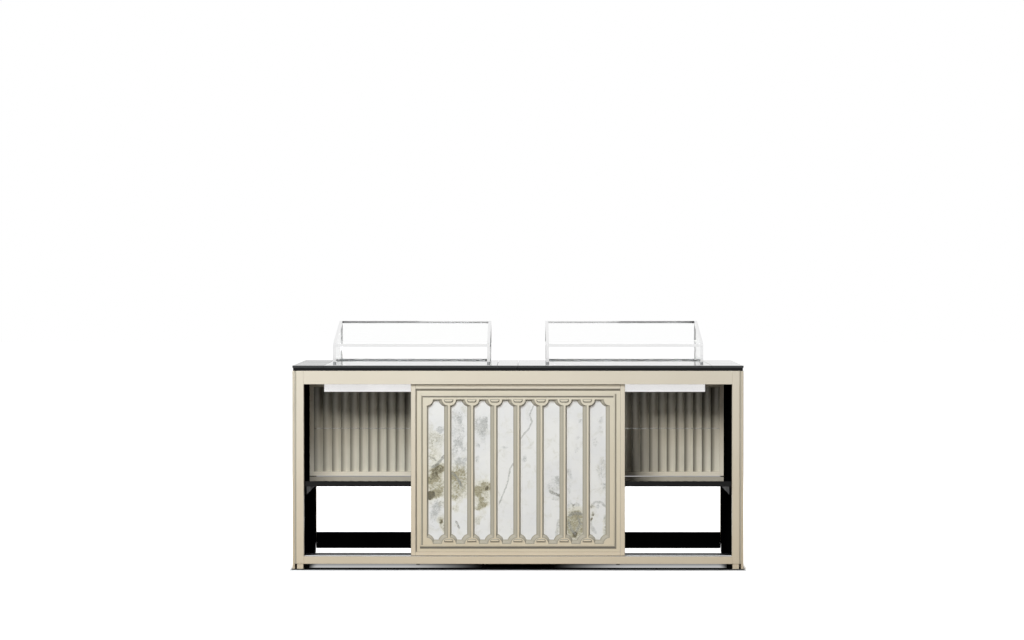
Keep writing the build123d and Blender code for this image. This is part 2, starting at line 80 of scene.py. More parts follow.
class Surface:
    """One procedural material and the helpers that build its nodes."""

    def __init__(self, name):
        self.material = bpy.data.materials.new(name)
        self.material.use_nodes = True
        self.nodes = self.material.node_tree.nodes
        self.links = self.material.node_tree.links
        self.nodes.clear()
        self.coords = self.nodes.new("ShaderNodeTexCoord")
        self.place = self.coords.outputs["Object"]

    def feed(self, socket, value):
        """Set a socket to a value or link an output to it."""
        if isinstance(value, bpy.types.NodeSocket):
            self.links.new(value, socket)
        else:
            socket.default_value = value

    def add(self, kind, inputs, **settings):
        """A shader node of a kind, with its inputs fed and its settings made."""
        node = self.nodes.new("ShaderNode" + kind)
        for name, value in settings.items():
            setattr(node, name, value)
        for name, value in inputs.items():
            self.feed(node.inputs[name], value)
        return node

    def math(self, operation, *values, clamp=False):
        """The result of a sum, product or comparison."""
        node = self.nodes.new("ShaderNodeMath")
        node.operation = operation
        node.use_clamp = clamp
        for socket, value in zip(node.inputs, values):
            self.feed(socket, value)
        return node.outputs[0]

    def axes(self):
        """The X, Y and Z of each point."""
        return self.add("SeparateXYZ", {"Vector": self.place}).outputs

    def facing(self):
        """The X, Y and Z of the direction in which the surface faces."""
        return self.add("SeparateXYZ", {"Vector": self.coords.outputs["Normal"]}).outputs

    def vector(self, operation, inputs):
        """The result of a sum or product of vectors."""
        return self.add("VectorMath", inputs, operation=operation).outputs[0]

    def scaled(self, scale, place=None):
        """Coordinates stretched by a scale for each axis."""
        node = self.add("Mapping", {"Vector": place or self.place, "Scale": scale})
        return node.outputs[0]

    def noise(self, scale, detail=3.0, roughness=0.5, distortion=0.0, place=None):
        """Noise between 0 and 1."""
        node = self.add(
            "TexNoise",
            {
                "Vector": place or self.place,
                "Scale": scale,
                "Detail": detail,
                "Roughness": roughness,
                "Distortion": distortion,
            },
        )
        return node.outputs["Fac"]

    def warped(self, scale, amount, detail=3.0):
        """Coordinates pushed about by noise, up to roughly amount metres."""
        node = self.add("TexNoise", {"Vector": self.place, "Scale": scale, "Detail": detail})
        centred = self.vector("SUBTRACT", {0: node.outputs["Color"], 1: (0.5, 0.5, 0.5)})
        push = self.vector("SCALE", {0: centred, "Scale": 2.0 * amount})
        return self.vector("ADD", {0: self.place, 1: push})

    def step(self, value, low, high, to_low=0.0, to_high=1.0):
        """A smooth step from to_low at low to to_high at high."""
        node = self.add(
            "MapRange",
            {"Value": value, "From Min": low, "From Max": high, "To Min": to_low, "To Max": to_high},
            interpolation_type="SMOOTHSTEP",
        )
        return node.outputs[0]

    def blend(self, amount, a, b, kind="MIX"):
        """Colour a where amount is 0 and b where it is 1. For MULTIPLY, a times b where it is 1."""
        node = self.nodes.new("ShaderNodeMix")
        node.data_type = "RGBA"
        node.blend_type = kind
        self.feed(node.inputs[0], amount)
        self.feed(node.inputs[6], a)
        self.feed(node.inputs[7], b)
        return node.outputs[2]

    def bump(self, height, distance, strength):
        """A surface direction roughened by a height."""
        node = self.add("Bump", {"Height": height, "Distance": distance, "Strength": strength})
        return node.outputs[0]

    def shade(self, inputs):
        """The shader and the output. Plain numbers go straight on its sockets."""
        shader = self.add("BsdfPrincipled", inputs)
        output = self.nodes.new("ShaderNodeOutputMaterial")
        self.links.new(shader.outputs[0], output.inputs[0])
        return self.material


# Materials

# How squarely a face looks to the front or rear, as the Y of its direction: it gets
# painted shade below SLOPING and none above FLAT
SLOPING = 0.965
FLAT = 0.99


def faded(colour, share):
    """A colour brought down to a share of its brightness."""
    return tuple(channel * share for channel in colour[:3]) + (1.0,)


def coated(name, dark, light, rough=0.42, streaks=0.0, relief_shade=None, low_painted_shade=None, rims=None):
    """Satin coating: slow tone drift, fine flakes and a faint orange peel. Painted shade lies
    in the relief: its slopes keep these shares of the tone, at the sides and underneath.
    The painted shade is deeper towards both rims of a slope, where these are given by their Y.
    Painted shade also makes the coat darker and warmer towards the floor."""
    s = Surface(name)
    drift = s.noise(1.7, detail=4.0)
    flakes = s.noise(1400.0, detail=2.0)
    tone = s.math("MULTIPLY_ADD", flakes, 0.35, s.math("MULTIPLY", drift, 0.65))
    if streaks:
        grain = s.noise(1.0, detail=5.0, roughness=0.6, place=s.scaled((340.0, 340.0, 9.0)))
        tone = s.math("MULTIPLY_ADD", s.math("SUBTRACT", grain, 0.5), streaks, tone)
    colour = s.blend(s.step(tone, 0.3, 0.7), dark, light)
    # Painted shade: the coat darkens and warms towards the floor
    if low_painted_shade:
        low = s.step(s.axes()["Z"], 0.0, 0.95, 1.0, 0.0)
        colour = s.blend(low, colour, low_painted_shade, "MULTIPLY")
    # Painted shade on the relief's slopes, with its own share on faces turned downwards
    if relief_shade:
        beside, under = relief_shade
        facing = s.facing()
        slope = s.step(s.math("ABSOLUTE", facing["Y"]), SLOPING, FLAT, 1.0, 0.0)
        below = s.step(facing["Z"], -0.2, -0.1, 1.0, 0.0)
        shaded_tone = s.blend(below, faded(dark, beside), faded(dark, under))
        # The painted shade deepens towards both rims of a slope
        if rims:
            front_y, back_y = rims
            middle = s.math("ABSOLUTE", s.math("SUBTRACT", s.axes()["Y"], (front_y + back_y) / 2))
            reach = (back_y - front_y) / 2
            rim_shade = s.step(middle, reach * 0.35, reach * 0.85, 0.0, 0.45)
            shaded_tone = s.blend(rim_shade, shaded_tone, faded(dark, under * 0.4))
        colour = s.blend(slope, colour, shaded_tone)
    peel = s.noise(260.0, detail=2.0)
    return s.shade(
        {
            "Base Color": colour,
            "Roughness": s.step(s.noise(35.0, detail=4.0), 0.2, 0.8, rough - 0.05, rough + 0.05),
            "Normal": s.bump(peel, 0.00006, 0.35),
        }
    )


def black_coat(name, rough, specular, tone):
    """Black finish with dust-fine specks and slight wear in its gloss."""
    s = Surface(name)
    specks = s.step(s.noise(2100.0, detail=2.0), 0.62, 0.75)
    colour = s.blend(specks, neutral(tone), rgb(tone * 2.4, tone * 2.3, tone * 2.2))
    wipe = s.noise(1.0, detail=4.0, place=s.scaled((6.0, 6.0, 3.0)))
    roughness = s.step(wipe, 0.3, 0.8, rough, rough * 1.5)
    return s.shade({"Base Color": colour, "Roughness": roughness, "Specular IOR Level": specular})


def top_glass(name, smooth, rough):
    """Black back-painted glass, polished, with a faint film of wiping marks."""
    s = Surface(name)
    wipe = s.noise(1.0, detail=5.0, place=s.scaled((3.0, 11.0, 1.0), s.warped(2.0, 0.1)))
    roughness = s.step(wipe, 0.35, 0.8, smooth, rough)
    colour = s.blend(wipe, rgb(0.016, 0.017, 0.018), rgb(0.022, 0.023, 0.024))
    return s.shade({"Base Color": colour, "Roughness": roughness, "IOR": 1.5})


# Scale of brush lines: long along X, fine across it
BRUSH_LINES = (14.0, 1500.0, 1500.0)


def brushed(name, dark, light, rough):
    """Metal with fine brush lines along X."""
    s = Surface(name)
    lines = s.noise(1.0, detail=4.0, roughness=0.65, place=s.scaled(BRUSH_LINES))
    roughness = s.step(lines, 0.25, 0.75, rough - 0.07, rough + 0.07)
    return s.shade(
        {
            "Base Color": s.blend(lines, dark, light),
            "Metallic": 1.0,
            "Roughness": roughness,
            "Normal": s.bump(lines, 0.00003, 0.4),
        }
    )


def enamel():
    """White enamelled steel of the module housings, with a metallic gloss."""
    s = Surface("white_housing")
    film = s.noise(12.0, detail=4.0)
    return s.shade(
        {
            "Base Color": s.blend(film, rgb(0.83, 0.82, 0.82), rgb(0.87, 0.86, 0.86)),
            "Metallic": 0.8,
            "Roughness": s.step(film, 0.3, 0.7, 0.08, 0.16),
        }
    )


def clear_glass():
    """Clear tempered glass of the guards. The end panes are greyer."""
    s = Surface("guard_glass")
    film = s.noise(4.0, detail=4.0)
    end_pane = s.math("GREATER_THAN", s.math("ABSOLUTE", s.facing()["X"]), 0.9)
    clear = s.blend(film, rgb(0.985, 0.99, 0.985), rgb(0.995, 0.995, 0.995))
    return s.shade(
        {
            "Base Color": s.blend(end_pane, clear, rgb(0.70, 0.71, 0.705)),
            "Roughness": s.step(film, 0.3, 0.8, 0.0, 0.02),
            "IOR": 1.2,
            "Transmission Weight": 1.0,
        }
    )


def reeded():
    """Satin beige coating on the fluted boards, with faint streaks. Painted shade darkens the left of
    each flute, the coat is painted darker towards the top as shade under the housing, and the
    joint of the boards is dark."""
    s = Surface("reeded_paint")
    streak = s.noise(1.0, detail=5.0, roughness=0.6, place=s.scaled((420.0, 420.0, 5.0)))
    cloud = s.noise(7.0, detail=4.0)
    tone = s.math("MULTIPLY_ADD", streak, 0.55, s.math("MULTIPLY", cloud, 0.45))
    coat = s.blend(s.step(tone, 0.3, 0.7), rgb(0.62, 0.575, 0.465), rgb(0.77, 0.725, 0.60))
    facing = s.facing()
    joint = s.step(s.math("ABSOLUTE", facing["Z"]), 0.15, 0.4)
    # Painted shade on the left side of each flute, which faces right
    flank_shade = s.step(facing["X"], -0.15, 0.7, 0.0, 0.62)
    # Painted shade darkening the boards towards the top, under the housing
    top_shade = s.step(s.axes()["Z"], 0.61, 0.78, 0.0, 0.68)
    unshaded = s.math("MULTIPLY", s.math("SUBTRACT", 1.0, flank_shade), s.math("SUBTRACT", 1.0, top_shade))
    # dark holds the painted shade together with the dark joint of the boards
    dark = s.math("MAXIMUM", s.math("SUBTRACT", 1.0, unshaded), joint)
    return s.shade(
        {
            "Base Color": s.blend(dark, coat, rgb(0.05, 0.045, 0.035)),
            "Roughness": s.math("MAXIMUM", s.step(streak, 0.3, 0.7, 0.36, 0.48), joint),
            "Normal": s.bump(streak, 0.00008, 0.4),
        }
    )


def moulded(name, tone):
    """Moulded nylon or rubber."""
    s = Surface(name)
    grain = s.noise(900.0, detail=3.0)
    return s.shade(
        {
            "Base Color": s.blend(grain, neutral(tone), neutral(tone * 1.6)),
            "Roughness": s.step(grain, 0.3, 0.7, 0.45, 0.6),
            "Normal": s.bump(grain, 0.00008, 0.5),
        }
    )


# Stone: where its mineral clusters lie on the door, in millimetres: middle x and z,
# half width and half height, tilt in degrees, then how much grey, warm and dark
CLUSTERS = [
    (-372, 565, 42, 70, 0, 0.2, 0.3, 0.0),
    (-365, 400, 48, 110, 0, 0.15, 0.65, 0.0),
    (-372, 240, 40, 70, 0, 0.35, 0.15, 0.0),
    (-265, 570, 48, 150, 0, 0.3, 0.05, 0.0),
    (-262, 385, 48, 115, 0, 0.2, 0.5, 0.0),
    (-160, 600, 40, 75, 0, 0.3, 0.1, 0.0),
    (-160, 330, 44, 80, 0, 0.1, 0.55, 0.0),
    (-344, 619, 14, 15, 20, 0.9, 0.0, 0.0),
    (-365, 582, 36, 24, 10, 0.4, 0.6, 0.3),
    (-387, 547, 10, 16, 0, 0.3, 0.5, 0.0),
    (-386, 512, 22, 22, 0, 0.0, 0.3, 0.0),
    (-354, 442, 34, 19, -22, 0.0, 1.2, 0.9),
    (-378, 402, 34, 15, -14, 0.0, 1.2, 0.8),
    (-365, 370, 42, 26, 0, 0.0, 0.6, 0.0),
    (-388, 328, 18, 15, -20, 0.0, 1.1, 1.5),
    (-370, 332, 34, 16, -12, 0.0, 1.1, 0.5),
    (-368, 262, 16, 38, 15, 0.7, 0.0, 0.0),
    (-342, 284, 14, 18, 0, 0.5, 0.4, 0.0),
    (-344, 218, 14, 14, 0, 0.0, 0.9, 0.5),
    (-333, 190, 10, 28, -15, 0.0, 1.0, 0.5),
    (-276, 682, 30, 22, 0, 0.45, 0.0, 0.0),
    (-259, 658, 10, 15, 0, 0.6, 0.0, 0.0),
    (-268, 602, 32, 42, 15, 0.45, 0.1, 0.0),
    (-264, 557, 18, 13, 35, 0.8, 0.0, 0.1),
    (-244, 533, 10, 12, 0, 0.6, 0.0, 0.0),
    (-281, 524, 14, 22, 0, 0.5, 0.3, 0.0),
    (-265, 477, 12, 18, 20, 0.9, 0.1, 0.0),
    (-240, 476, 8, 20, 20, 0.6, 0.0, 0.0),
    (-261, 390, 42, 64, 0, 0.3, 0.8, 0.0),
    (-284, 415, 18, 15, 0, 0.3, 0.8, 0.3),
    (-285, 316, 15, 13, 0, 0.0, 0.7, 0.2),
    (-280, 268, 14, 16, 0, 0.3, 0.6, 0.3),
    (-168, 638, 34, 36, 0, 0.6, 0.3, 0.0),
    (-148, 649, 12, 22, 0, 0.8, 0.0, 0.0),
    (-157, 593, 12, 22, 0, 0.5, 0.0, 0.0),
    (-173, 547, 8, 11, 0, 0.6, 0.0, 0.0),
    (-181, 490, 11, 13, 0, 0.6, 0.1, 0.0),
    (-176, 462, 18, 18, 0, 0.4, 0.2, 0.0),
    (-137, 371, 28, 20, 0, 0.2, 0.7, 0.0),
    (-136, 361, 6, 9, 0, 0.0, 0.5, 2.2),
    (-178, 345, 15, 20, 0, 0.0, 1.1, 0.1),
    (-161, 307, 9, 14, 0, 0.0, 1.1, 0.1),
    (-164, 277, 28, 13, -20, 0.0, 0.9, 0.0),
    (-155, 333, 36, 42, 0, 0.1, 0.5, 0.0),
    (-176, 216, 12, 17, 20, 0.4, 0.8, 0.0),
    (-57, 543, 20, 7, 0, 0.6, 0.0, 0.0),
    (-68, 286, 15, 17, 0, 0.35, 0.1, 0.0),
    (54, 684, 14, 36, 0, 0.35, 0.0, 0.0),
    (29, 490, 9, 16, 25, 0.8, 0.0, 0.0),
    (162, 371, 32, 38, 20, 0.75, 0.3, 0.0),
    (181, 397, 12, 15, 0, 0.9, 0.1, 0.2),
    (169, 314, 18, 9, -10, 0.7, 0.4, 0.1),
    (181, 172, 8, 38, 8, 0.0, 0.6, 0.0),
    (281, 657, 11, 12, -30, 0.7, 0.0, 0.0),
    (264, 584, 14, 8, -15, 0.6, 0.0, 0.0),
    (261, 527, 11, 15, 0, 0.6, 0.0, 0.0),
    (229, 431, 11, 15, 0, 0.7, 0.1, 0.0),
    (236, 411, 7, 9, 0, 0.6, 0.0, 0.0),
    (229, 356, 7, 22, 0, 0.5, 0.0, 0.0),
    (236, 282, 13, 17, 0, 0.7, 0.3, 0.6),
    (262, 286, 15, 8, 0, 0.8, 0.2, 0.3),
    (255, 197, 48, 66, 0, 0.0, 1.5, 0.25),
    (261, 241, 16, 16, 0, 0.0, 1.0, 0.5),
    (251, 154, 10, 10, 0, 0.0, 1.0, 1.3),
    (369, 662, 9, 14, 20, 0.7, 0.0, 0.0),
    (366, 619, 20, 15, 0, 0.35, 0.0, 0.0),
    (344, 563, 13, 17, 0, 0.65, 0.0, 0.0),
    (377, 442, 22, 50, 0, 0.65, 0.4, 0.0),
    (381, 367, 11, 15, 0, 0.8, 0.3, 0.2),
    (331, 279, 9, 12, 0, 0.3, 0.6, 0.7),
    (332, 243, 8, 10, 0, 0.2, 0.7, 1.0),
    (327, 221, 6, 9, 0, 0.1, 0.6, 1.0),
    (355, 279, 8, 8, 0, 0.8, 0.0, 0.0),
    (387, 190, 9, 56, 0, 0.1, 0.7, 0.0),
]
# Thin veins through these points x, z, with half width and how much they darken
VEINS = [
    ((-16, 474), (-34, 448), (-41, 408), (-47, 375), (-69, 327), (-82, 290), 3.0, 0.62),
    ((70, 728), (52, 686), (62, 653), (51, 627), (37, 612), (12, 578), 3.2, 0.62),
    ((-318, 510), (-340, 486), (-362, 462), (-380, 452), 5.5, 0.9),
    ((-395, 500), (-378, 494), (-364, 482), 3.5, 0.6),
    ((-300, 432), (-275, 412), (-262, 392), (-250, 366), 5.0, 0.95),
    ((-276, 212), (-268, 198), (-260, 180), 4.0, 0.95),
    ((142, 345), (165, 334), (192, 322), 5.5, 1.1),
    ((325, 276), (341, 297), (370, 296), (390, 276), 5.0, 0.55),
    ((318, 226), (324, 190), (344, 162), 7.0, 0.4),
    ((388, 232), (394, 196), (386, 160), 7.0, 0.4),
    ((228, 236), (252, 250), (284, 244), 6.0, 0.85),
    ((226, 208), (236, 176), (254, 156), 5.0, 0.9),
    ((182, 214), (176, 180), (170, 140), 6.0, 0.5),
    ((268, 226), (276, 200), (262, 168), 4.5, 0.8),
    ((276, 204), (292, 196), (300, 200), 4.0, 0.7),
]


def spot_place(s, place, x, z, half_w, half_h, tilt):
    """Coordinates in which an ellipse on the door face is a circle of radius 1."""
    return s.add(
        "Mapping",
        {
            "Vector": place,
            "Location": (x / 1000, 0.0, z / 1000),
            "Rotation": (0.0, math.radians(tilt), 0.0),
            "Scale": (half_w / 1000, 100.0, half_h / 1000),
        },
        vector_type="TEXTURE",
    ).outputs[0]


def nearness(s, spot):
    """1 in the middle of a spot, fading to 0 at its rim."""
    return s.add("TexGradient", {"Vector": spot}, gradient_type="SPHERICAL").outputs["Fac"]


def cluster_fields(s, place):
    """How much grey, warm and dark mineral there is at each point of the stone."""
    fields = [0.0, 0.0, 0.0]
    for x, z, half_w, half_h, tilt, *amounts in CLUSTERS:
        near = nearness(s, spot_place(s, place, x, z, half_w * 1.5, half_h * 1.5, tilt))
        near = s.math("MULTIPLY", near, 2.0, clamp=True)
        for i, amount in enumerate(amounts):
            if amount:
                fields[i] = s.math("MULTIPLY_ADD", near, amount, fields[i])
    return fields


def vein_field(s, place):
    """How strongly the thin veins show at each point."""
    total = 0.0
    for *points, half_w, strength in VEINS:
        for (x0, z0), (x1, z1) in zip(points[:-1], points[1:]):
            length = math.hypot(x1 - x0, z1 - z0)
            tilt = math.degrees(math.atan2(x1 - x0, z1 - z0))
            middle = ((x0 + x1) / 2, (z0 + z1) / 2)
            near = nearness(s, spot_place(s, place, *middle, half_w * 1.5, length * 0.85, tilt))
            near = s.math("MULTIPLY", near, 2.6, clamp=True)
            total = s.math("MAXIMUM", s.math("MULTIPLY", near, strength), total)
    return total


def patches(s, field, noise, spread, low, high, most=1.0):
    """Where a field, roughened by noise, rises from low to high."""
    rough = s.math("MULTIPLY_ADD", s.math("SUBTRACT", noise, 0.5), spread, field)
    return s.step(rough, low, high, 0.0, most)


def stone():
    """Polished white marble with grey, olive and dark mineral clusters and thin veins."""
    s = Surface("stone")
    place = s.warped(48.0, 0.012, detail=6.0)
    grey, warm, dark = cluster_fields(s, place)
    veins = vein_field(s, s.warped(70.0, 0.0045, detail=5.0))
    broad = s.noise(24.0, detail=6.0, roughness=0.6, distortion=0.8)
    middle = s.noise(62.0, detail=6.0, roughness=0.64, distortion=1.2)
    fine = s.noise(130.0, detail=6.0, roughness=0.66, distortion=0.6)

    cloud = s.noise(6.0, detail=7.0, roughness=0.6, distortion=0.6)
    colour = s.blend(s.step(cloud, 0.35, 0.7), rgb(0.765, 0.75, 0.715), rgb(0.715, 0.705, 0.69))
    colour = s.blend(s.step(broad, 0.52, 0.8, 0.0, 0.4), colour, rgb(0.66, 0.648, 0.62))

    thread = s.math("MULTIPLY", veins, s.step(fine, 0.35, 0.6, 0.4, 1.0))
    grain = s.step(s.noise(190.0, detail=6.0, roughness=0.7, distortion=0.8), 0.36, 0.64)
    # Amount, then the tint in the grain's hollows and on its crests
    layers = [
        (patches(s, warm, broad, 2.6, 0.0, 1.0, 0.75), rgb(0.58, 0.54, 0.41), rgb(0.72, 0.69, 0.58)),
        (patches(s, grey, broad, 2.6, 0.0, 1.2, 0.62), rgb(0.475, 0.47, 0.45), rgb(0.68, 0.675, 0.65)),
        (patches(s, grey, fine, 3.2, 0.5, 1.3, 0.7), rgb(0.29, 0.29, 0.265), rgb(0.50, 0.50, 0.48)),
        (patches(s, warm, fine, 3.2, 0.7, 1.5, 0.75), rgb(0.33, 0.30, 0.20), rgb(0.54, 0.51, 0.40)),
        (patches(s, warm, middle, 3.0, 1.0, 1.7, 0.85), rgb(0.20, 0.17, 0.085), rgb(0.38, 0.345, 0.22)),
        (patches(s, dark, middle, 2.4, 0.6, 1.2), rgb(0.055, 0.045, 0.02), rgb(0.16, 0.135, 0.07)),
        (thread, rgb(0.17, 0.165, 0.14), rgb(0.33, 0.325, 0.28)),
    ]
    for amount, hollow, crest in layers:
        colour = s.blend(amount, colour, s.blend(grain, hollow, crest))
    film = s.noise(30.0, detail=4.0)
    return s.shade({"Base Color": colour, "Roughness": s.step(film, 0.3, 0.7, 0.14, 0.2), "IOR": 1.5})


def sill():
    """The track sill: light satin steel, with a black strip and lip along its rear edge."""
    s = Surface("sill")
    axes = s.axes()
    on_top = s.math("GREATER_THAN", axes["Z"], SILL_TOP)
    from_start = s.math("GREATER_THAN", axes["Y"], BLACK_START)
    rear = s.math("GREATER_THAN", axes["Y"], SILL_REAR)
    black = s.math("MAXIMUM", s.math("MULTIPLY", on_top, from_start), rear)
    lines = s.noise(1.0, detail=4.0, place=s.scaled(BRUSH_LINES))
    steel = s.blend(lines, rgb(0.84, 0.835, 0.82), rgb(0.89, 0.885, 0.87))
    return s.shade(
        {
            "Base Color": s.blend(black, steel, neutral(0.005)),
            "Metallic": s.math("MULTIPLY", s.math("SUBTRACT", 1.0, black), 0.1),
            "Roughness": s.step(lines, 0.3, 0.7, 0.26, 0.34),
            "Specular IOR Level": 0.1,
        }
    )


# The darker and lighter tone of the champagne coat, on the frame and on the door
CHAMPAGNE = (rgb(0.635, 0.571, 0.46), rgb(0.68, 0.617, 0.505))
DOOR_CHAMPAGNE = (rgb(0.625, 0.57, 0.45), rgb(0.695, 0.64, 0.52))

# Painted shade: how these coats are painted darker and warmer towards the floor
LOW_PAINTED_SHADE = rgb(0.96, 0.9, 0.82)

# How strongly the door's coat is streaked
DOOR_STREAKS = 0.35

# Front and rear of the fretwork, between which its reveals slope
FRETWORK_RIMS = [corner[1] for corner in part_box("door_fretwork")]

FINISHES = {
    "champagne_paint": coated("champagne_paint", *CHAMPAGNE, low_painted_shade=LOW_PAINTED_SHADE),
    # The door's coats carry painted shade on the slopes of their relief
    "door_frame": coated("door_frame", *CHAMPAGNE, relief_shade=(0.55, 0.42), low_painted_shade=LOW_PAINTED_SHADE),
    "door_paint": coated(
        "door_paint",
        *DOOR_CHAMPAGNE,
        streaks=DOOR_STREAKS,
        relief_shade=(0.66, 0.66),
        low_painted_shade=LOW_PAINTED_SHADE,
        rims=FRETWORK_RIMS,
    ),
    "door_trim": coated(
        "door_trim",
        *DOOR_CHAMPAGNE,
        streaks=DOOR_STREAKS,
        relief_shade=(0.52, 0.28),
        low_painted_shade=LOW_PAINTED_SHADE,
    ),
    # Painted light: a lighter copy of the champagne coat for the recessed frames round the fluted
    # boards, which stand in shade
    "reeded_frame_painted_light": coated(
        "reeded_frame_painted_light",
        rgb(0.79, 0.715, 0.575),
        rgb(0.84, 0.77, 0.63),
    ),
    # Painted shade: a darker copy of the champagne coat for the spacers in the shadow gaps
    "spacer_painted_shade": coated("spacer_painted_shade", rgb(0.375, 0.34, 0.265), rgb(0.425, 0.39, 0.315)),
    "backing_board": coated(
        "backing_board",
        rgb(0.035, 0.03, 0.026),
        rgb(0.06, 0.052, 0.045),
        rough=0.6,
    ),
    "black_paint": black_coat("black_paint", 0.5, 0.02, tone=0.002),
    "black_gloss_board": black_coat("black_gloss_board", 0.05, 0.1, tone=0.003),
    "liner_black": black_coat("liner_black", 0.6, 0.0, tone=0.002),
    "sill": sill(),
    "black_base": black_coat("black_base", 0.4, 0.1, tone=0.007),
    "top_glass": top_glass("top_glass", 0.02, 0.06),
    "end_glass": top_glass("end_glass", 0.14, 0.2),
    "white_housing": enamel(),
    "steel": brushed("steel", neutral(0.42), neutral(0.60), 0.32),
    "reeded_paint": reeded(),
    "stone": stone(),
    "guard_aluminium": brushed("guard_aluminium", neutral(0.76), neutral(0.84), 0.14),
    "guard_glass": clear_glass(),
    "guard_feet": moulded("guard_feet", 0.27),
    "wheel_plastic": moulded("wheel_plastic", 0.03),
}

# Nodes whose finish differs from that of their record slot
OWN_FINISH = {
    "liner_left": "liner_black",
    "liner_right": "liner_black",
    "track_sill": "sill",
    "door_frame": "door_frame",
    "door_bead": "door_trim",
    "door_bosses": "door_trim",
    # Painted light: the reeded frames get a lighter copy of the coat
    "reeded_frames": "reeded_frame_painted_light",
    # Painted shade: the shadow spacers get a darker copy of the coat
    "shadow_spacers": "spacer_painted_shade",
    "top_end_left": "end_glass",
}


# Edges: how far they are rounded, on plain and on fine nodes, in how many steps, from
# which angle between faces, and the gap over which split corners are joined
EDGE_WIDTH = 0.0007
FINE_EDGE = 0.0004
EDGE_STEPS = 2
SHARP_ANGLE = math.radians(30.0)
CORNER_GAP = 0.00001
FINE_NODES = {"door_bosses", "door_bead", "door_fretwork", "guard_left_feet", "guard_right_feet"}
GLASS_NODES = {"guard_left_panes", "guard_right_panes"}


def edge_cleaner():
    """Geometry nodes that join the split corners of an imported mesh and drop its stored normals."""
    group = bpy.data.node_groups.new("join_corners", "GeometryNodeTree")
    group.interface.new_socket("Geometry", in_out="INPUT", socket_type="NodeSocketGeometry")
    group.interface.new_socket("Geometry", in_out="OUTPUT", socket_type="NodeSocketGeometry")
    steps = [
        group.nodes.new("NodeGroupInput"),
        group.nodes.new("GeometryNodeSetMeshNormal"),
        group.nodes.new("GeometryNodeMergeByDistance"),
        group.nodes.new("GeometryNodeSetShadeSmooth"),
        group.nodes.new("NodeGroupOutput"),
    ]
    steps[1].inputs["Remove Custom"].default_value = True
    steps[2].inputs["Distance"].default_value = CORNER_GAP
    for before, after in zip(steps[:-1], steps[1:]):
        group.links.new(before.outputs[0], after.inputs[0])
    return group


def soften_edges(piece, cleaner, width):
    """A small rounded edge that catches light, as on the real thing."""
    join = piece.modifiers.new("join_corners", "NODES")
    join.node_group = cleaner
    bevel = piece.modifiers.new("soft_edges", "BEVEL")
    bevel.width = width
    bevel.segments = EDGE_STEPS
    bevel.limit_method = "ANGLE"
    bevel.angle_limit = SHARP_ANGLE
    bevel.harden_normals = True


def dress_cad():
    """Give every CAD node its finish, and each but the guard panes its soft edges."""
    cleaner = edge_cleaner()
    slots = {row["node"]: row["material_slot"] for row in frame["record"]["subparts"]}
    for name, piece in cad.items():
        finish = FINISHES[OWN_FINISH.get(name, slots[name])]
        piece.data.materials.clear()
        piece.data.materials.append(finish)
        width = FINE_EDGE if name in FINE_NODES else EDGE_WIDTH
        if name not in GLASS_NODES:
            soften_edges(piece, cleaner, width)


# Stage, light and camera
def path_share(nodes, links, names):
    """1 for the ray kinds named, as one output."""
    path = nodes.new("ShaderNodeLightPath")
    total = path.outputs[names[0]]
    for name in names[1:]:
        either = nodes.new("ShaderNodeMath")
        either.operation = "MAXIMUM"
        links.new(total, either.inputs[0])
        links.new(path.outputs[name], either.inputs[1])
        total = either.outputs[0]
    return total


SEEN_RAYS = ["Is Camera Ray", "Is Glossy Ray", "Is Transmission Ray"]


def make_world():
    """White where it is seen, a plain soft light where it lights the object."""
    world = bpy.data.worlds.new("studio")
    bpy.context.scene.world = world
    world.use_nodes = True
    nodes = world.node_tree.nodes
    links = world.node_tree.links
    nodes.clear()
    light = nodes.new("ShaderNodeBackground")
    light.inputs["Color"].default_value = WHITE
    light.inputs["Strength"].default_value = AMBIENT
    seen = nodes.new("ShaderNodeBackground")
    seen.inputs["Color"].default_value = WHITE
    mix = nodes.new("ShaderNodeMixShader")
    output = nodes.new("ShaderNodeOutputWorld")
    links.new(path_share(nodes, links, SEEN_RAYS), mix.inputs[0])
    links.new(light.outputs[0], mix.inputs[1])
    links.new(seen.outputs[0], mix.inputs[2])
    links.new(mix.outputs[0], output.inputs[0])


# The floor: its height and half its width
FLOOR_Z = -0.0006
FLOOR_HALF = 40.0

# The shadow's fade, by the gap to the station: where it starts, where it has come up to
# EDGE_WHITE, and where it ends. At the sides it fades SIDE_FADE times as fast, and behind
# it is counted from REAR_FADE before the rear. The floor's own colour carries a painted
# contact shadow: it is painted dark under the station and pale from CONTACT_GAP on
SHADOW_START = 0.02
SHADOW_EDGE = 0.11
SHADOW_END = 2.5
EDGE_WHITE = 0.92
SIDE_FADE = 4.0
REAR_FADE = 0.3
CONTACT_GAP = 0.05

# Painted light through the bays: where the painted pool of light rises and falls by the distance
# from the middle, where it starts and fades by depth, its strength, and the share that is left at the
# rear
BAY_RISE = (0.15, 0.52)
BAY_FALL = (0.90, 0.94)
BAY_START = (-0.37, -0.33)
BAY_FADE = (-0.3, -0.1)
BAY_LIGHT = 0.5
BAY_REAR = 0.2


def floor_mesh():
    """One large square."""
    mesh = bpy.data.meshes.new("floor")
    corners = [
        (-FLOOR_HALF, -FLOOR_HALF, FLOOR_Z),
        (FLOOR_HALF, -FLOOR_HALF, FLOOR_Z),
        (FLOOR_HALF, FLOOR_HALF, FLOOR_Z),
        (-FLOOR_HALF, FLOOR_HALF, FLOOR_Z),
    ]
    mesh.from_pydata(corners, [], [(0, 1, 2, 3)])
    return mesh


